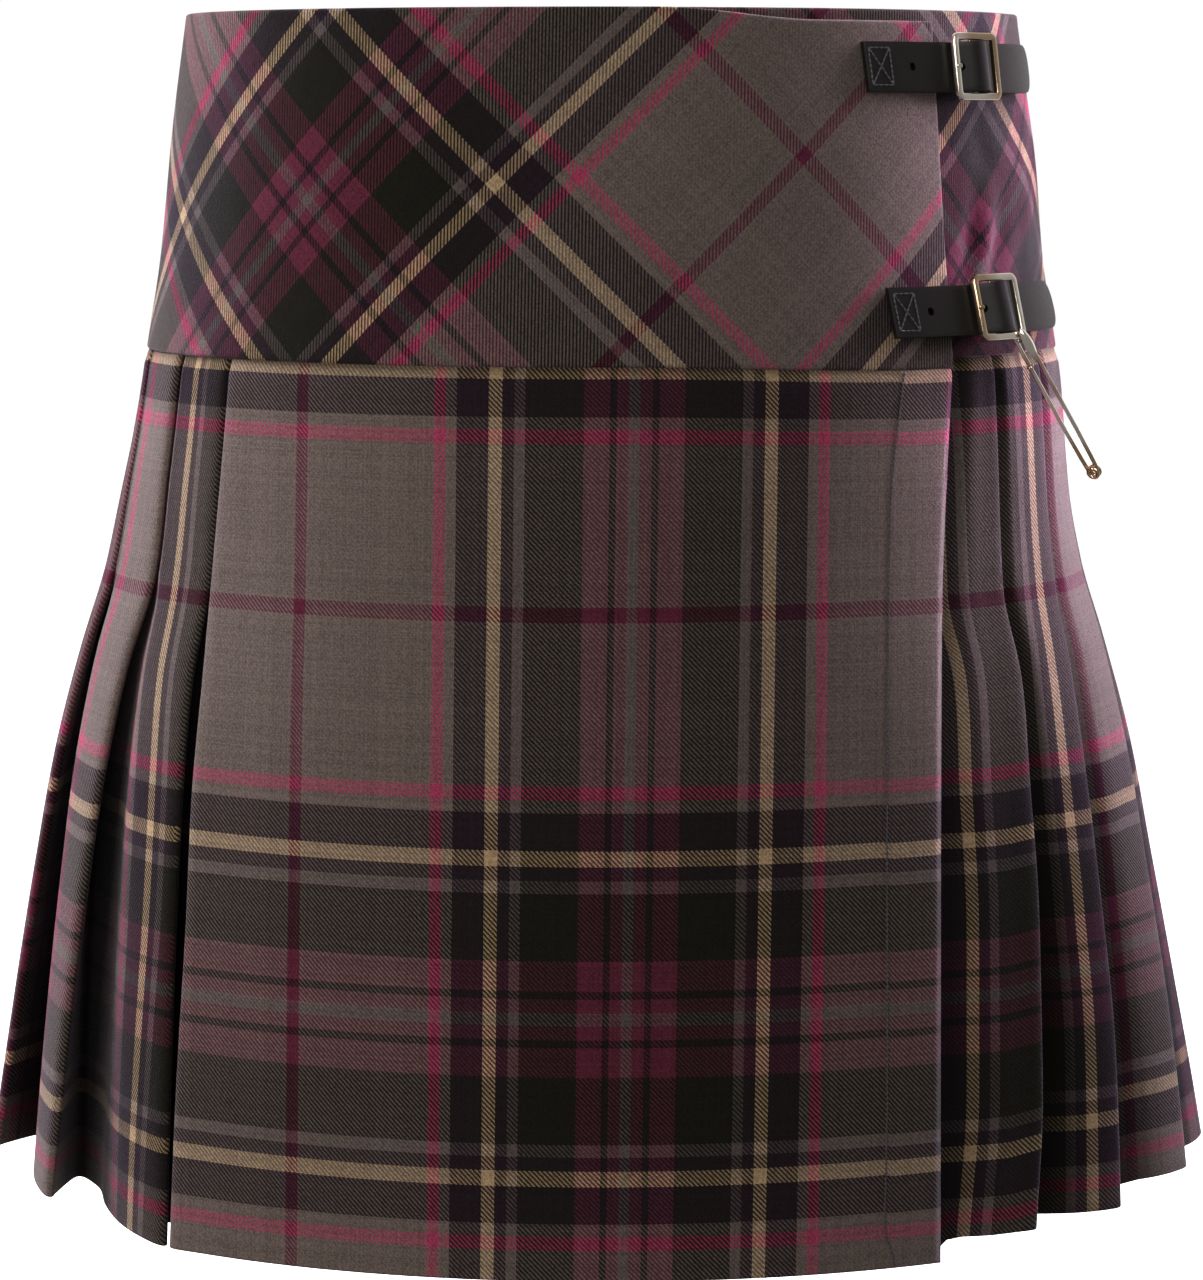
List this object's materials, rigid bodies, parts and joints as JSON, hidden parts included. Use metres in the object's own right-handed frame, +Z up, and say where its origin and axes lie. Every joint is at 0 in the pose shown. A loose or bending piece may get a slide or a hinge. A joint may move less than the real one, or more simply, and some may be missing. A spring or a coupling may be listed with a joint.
{
  "type": "kilt skirt",
  "caption": "Mini kilt skirt in tartan twill with a fitted bias yoke, a flat apron, knife pleats, leather buckle straps and a kilt pin, hollow as worn.",
  "frame": {"origin": "middle of the waist opening, in the plane of the top edge", "axes": "+Z up, -Y to the wearer's front, +X to the viewer's right, the wearer's left"},
  "size_m": [0.4544, 0.3207, 0.4267],
  "materials": {
    "tartan": "brushed wool-look twill woven in a grey, black-green, plum, pink and cream tartan",
    "leather": "smooth black strap leather, satin",
    "nickel": "polished warm nickel plate"
  },
  "bodies": {
    "garment": {"yoke_over": "tartan", "yoke_back": "tartan", "yoke_under": "tartan", "apron_over": "tartan", "apron_under": "tartan", "pleats_right": "tartan", "pleats_back_right": "tartan", "pleats_back_left": "tartan", "pleats_left": "tartan", "strap_upper": "leather", "strap_lower": "leather", "buckle_tab_upper": "leather", "buckle_tab_lower": "leather", "buckle_upper": "nickel", "buckle_lower": "nickel", "prong_upper": "nickel", "prong_lower": "nickel"},
    "pin": {"kilt_pin": "nickel"}
  },
  "joints": [
    {"name": "pin_swing", "type": "hinge", "parent": "garment", "child": "pin", "pos_m": [0.14636, -0.07003, -0.11319], "axis": [0.7196, -0.652, 0.239], "range_deg": [-30, 5]}
  ]
}
